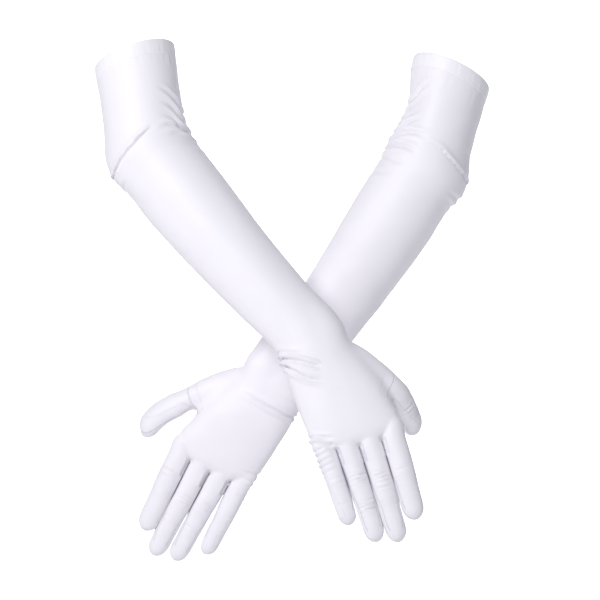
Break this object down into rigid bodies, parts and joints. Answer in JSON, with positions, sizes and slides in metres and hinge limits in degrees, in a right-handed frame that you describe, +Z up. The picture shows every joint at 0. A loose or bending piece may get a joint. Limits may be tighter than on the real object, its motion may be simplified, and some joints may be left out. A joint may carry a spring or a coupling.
{
  "type": "opera gloves",
  "caption": "Pair of long satin opera gloves worn with the arms crossed, with bending elbows, wrists, fingers and thumbs, and elastic hems.",
  "frame": {"origin": "centre of the left glove's arm opening, on the plane of its hem's rim", "axes": "+Z up along the worn gloves, from fingertips to openings; -Y towards the backs of the hands, with the right glove in front; +X towards the left glove's elbow"},
  "size_m": [0.3618, 0.1889, 0.4767],
  "materials": {
    "satin": "white stretch satin with a soft sheen",
    "satin_fold": "white stretch satin, gathered in folds",
    "seam_strip": "white satin strip between stitched seams",
    "elastic": "white woven elastic, matt"
  },
  "bodies": {
    "left_upper_arm": {"left_upper_sleeve": "satin", "left_top_hem": "satin", "left_hem_elastic": "elastic", "left_elbow_fold": "satin_fold"},
    "left_forearm": {"left_forearm_sleeve": "satin", "left_wrist_fold": "satin_fold"},
    "left_hand": {"left_hand": "satin", "left_index_middle_fourchette": "seam_strip", "left_middle_ring_fourchette": "seam_strip", "left_ring_little_fourchette": "seam_strip"},
    "left_index_base": {"left_index_base": "satin"},
    "left_index_tip": {"left_index_tip": "satin"},
    "left_middle_base": {"left_middle_base": "satin"},
    "left_middle_tip": {"left_middle_tip": "satin"},
    "left_ring_base": {"left_ring_base": "satin"},
    "left_ring_tip": {"left_ring_tip": "satin"},
    "left_little_base": {"left_little_base": "satin"},
    "left_little_tip": {"left_little_tip": "satin"},
    "left_thumb_base": {"left_thumb_base": "satin"},
    "left_thumb_tip": {"left_thumb_tip": "satin"},
    "right_upper_arm": {"right_upper_sleeve": "satin", "right_top_hem": "satin", "right_hem_elastic": "elastic", "right_elbow_fold": "satin_fold"},
    "right_forearm": {"right_forearm_sleeve": "satin", "right_wrist_fold": "satin_fold"},
    "right_hand": {"right_hand": "satin", "right_index_middle_fourchette": "seam_strip", "right_middle_ring_fourchette": "seam_strip", "right_ring_little_fourchette": "seam_strip"},
    "right_index_base": {"right_index_base": "satin"},
    "right_index_tip": {"right_index_tip": "satin"},
    "right_middle_base": {"right_middle_base": "satin"},
    "right_middle_tip": {"right_middle_tip": "satin"},
    "right_ring_base": {"right_ring_base": "satin"},
    "right_ring_tip": {"right_ring_tip": "satin"},
    "right_little_base": {"right_little_base": "satin"},
    "right_little_tip": {"right_little_tip": "satin"},
    "right_thumb_base": {"right_thumb_base": "satin"},
    "right_thumb_tip": {"right_thumb_tip": "satin"}
  },
  "joints": [
    {"name": "right_glove_apart", "type": "slide", "parent": "left_upper_arm", "child": "right_upper_arm", "axis": [0, -1, 0], "range_m": [0, 0.3]},
    {"name": "left_elbow", "type": "hinge", "parent": "left_upper_arm", "child": "left_forearm", "pos_m": [-0.0239, -0.01208, -0.08592], "axis": [0.2816, 0.9363, -0.2099], "range_deg": [-18, 80], "deforming": ["left_elbow_fold"]},
    {"name": "left_wrist", "type": "hinge", "parent": "left_forearm", "child": "left_hand", "pos_m": [-0.15474, -0.0154, -0.27627], "axis": [0.8018, -0.0104, -0.5975], "range_deg": [-40, 50], "deforming": ["left_wrist_fold"]},
    {"name": "left_index_knuckle", "type": "hinge", "parent": "left_hand", "child": "left_index_base", "pos_m": [-0.25026, -0.00675, -0.35154], "axis": [0.9008, -0.0209, -0.4337], "range_deg": [0, 70], "deforming": ["left_index_middle_fourchette"]},
    {"name": "left_index_middle_joint", "type": "hinge", "parent": "left_index_base", "child": "left_index_tip", "pos_m": [-0.26289, -0.00551, -0.37783], "axis": [0.9008, -0.0209, -0.4337], "range_deg": [0, 75]},
    {"name": "left_middle_knuckle", "type": "hinge", "parent": "left_hand", "child": "left_middle_base", "pos_m": [-0.23219, -0.00745, -0.36275], "axis": [0.8816, -0.0239, -0.4713], "range_deg": [0, 80], "deforming": ["left_index_middle_fourchette", "left_middle_ring_fourchette"]},
    {"name": "left_middle_middle_joint", "type": "hinge", "parent": "left_middle_base", "child": "left_middle_tip", "pos_m": [-0.24849, -0.00468, -0.39338], "axis": [0.8816, -0.0239, -0.4713], "range_deg": [0, 90]},
    {"name": "left_ring_knuckle", "type": "hinge", "parent": "left_hand", "child": "left_ring_base", "pos_m": [-0.21405, -0.00801, -0.37238], "axis": [0.8749, -0.025, -0.4837], "range_deg": [0, 80], "deforming": ["left_middle_ring_fourchette", "left_ring_little_fourchette"]},
    {"name": "left_ring_middle_joint", "type": "hinge", "parent": "left_ring_base", "child": "left_ring_tip", "pos_m": [-0.22978, -0.00484, -0.40099], "axis": [0.8749, -0.025, -0.4837], "range_deg": [0, 90]},
    {"name": "left_little_knuckle", "type": "hinge", "parent": "left_hand", "child": "left_little_base", "pos_m": [-0.19417, -0.00883, -0.3775], "axis": [0.8865, -0.0248, -0.4621], "range_deg": [0, 80], "deforming": ["left_ring_little_fourchette"]},
    {"name": "left_little_middle_joint", "type": "hinge", "parent": "left_little_base", "child": "left_little_tip", "pos_m": [-0.20648, -0.00677, -0.40121], "axis": [0.8865, -0.0248, -0.4621], "range_deg": [0, 90]},
    {"name": "left_thumb_knuckle", "type": "hinge", "parent": "left_hand", "child": "left_thumb_base", "pos_m": [-0.24566, 0.0005, -0.31338], "axis": [0.2228, -0.7068, -0.6714], "range_deg": [0, 30]},
    {"name": "left_thumb_middle_joint", "type": "hinge", "parent": "left_thumb_base", "child": "left_thumb_tip", "pos_m": [-0.2587, 0.00302, -0.32036], "axis": [0.2228, -0.7068, -0.6714], "range_deg": [0, 60]},
    {"name": "right_elbow", "type": "hinge", "parent": "right_upper_arm", "child": "right_forearm", "pos_m": [-0.27785, -0.04546, -0.07268], "axis": [-0.2496, -0.9593, 0.1317], "range_deg": [-28, 70], "deforming": ["right_elbow_fold"]},
    {"name": "right_wrist", "type": "hinge", "parent": "right_forearm", "child": "right_hand", "pos_m": [-0.13154, -0.1066, -0.24066], "axis": [0.9183, 0.1444, 0.3685], "range_deg": [-50, 50], "deforming": ["right_wrist_fold"]},
    {"name": "right_index_knuckle", "type": "hinge", "parent": "right_hand", "child": "right_index_base", "pos_m": [-0.05636, -0.12568, -0.33451], "axis": [0.9616, 0.1172, 0.2481], "range_deg": [0, 70], "deforming": ["right_index_middle_fourchette"]},
    {"name": "right_index_middle_joint", "type": "hinge", "parent": "right_index_base", "child": "right_index_tip", "pos_m": [-0.0485, -0.13227, -0.36185], "axis": [0.9616, 0.1172, 0.2481], "range_deg": [0, 75]},
    {"name": "right_middle_knuckle", "type": "hinge", "parent": "right_hand", "child": "right_middle_base", "pos_m": [-0.07653, -0.12871, -0.3406], "axis": [0.9555, 0.1254, 0.2669], "range_deg": [0, 80], "deforming": ["right_index_middle_fourchette", "right_middle_ring_fourchette"]},
    {"name": "right_middle_middle_joint", "type": "hinge", "parent": "right_middle_base", "child": "right_middle_tip", "pos_m": [-0.06654, -0.13525, -0.37328], "axis": [0.9555, 0.1254, 0.2669], "range_deg": [0, 90]},
    {"name": "right_ring_knuckle", "type": "hinge", "parent": "right_hand", "child": "right_ring_base", "pos_m": [-0.09639, -0.13113, -0.34523], "axis": [0.9481, 0.1312, 0.2895], "range_deg": [0, 80], "deforming": ["right_middle_ring_fourchette", "right_ring_little_fourchette"]},
    {"name": "right_ring_middle_joint", "type": "hinge", "parent": "right_ring_base", "child": "right_ring_tip", "pos_m": [-0.08625, -0.13666, -0.37594], "axis": [0.9481, 0.1312, 0.2895], "range_deg": [0, 90]},
    {"name": "right_little_knuckle", "type": "hinge", "parent": "right_hand", "child": "right_little_base", "pos_m": [-0.11689, -0.13237, -0.34523], "axis": [0.9433, 0.1325, 0.3044], "range_deg": [0, 80], "deforming": ["right_ring_little_fourchette"]},
    {"name": "right_little_middle_joint", "type": "hinge", "parent": "right_little_base", "child": "right_little_tip", "pos_m": [-0.10817, -0.13734, -0.37008], "axis": [0.9433, 0.1325, 0.3044], "range_deg": [0, 90]},
    {"name": "right_thumb_knuckle", "type": "hinge", "parent": "right_hand", "child": "right_thumb_base", "pos_m": [-0.06348, -0.10131, -0.29569], "axis": [0.315, 0.7309, 0.6055], "range_deg": [0, 30]},
    {"name": "right_thumb_middle_joint", "type": "hinge", "parent": "right_thumb_base", "child": "right_thumb_tip", "pos_m": [-0.05515, -0.09567, -0.30682], "axis": [0.315, 0.7309, 0.6055], "range_deg": [0, 60]}
  ]
}
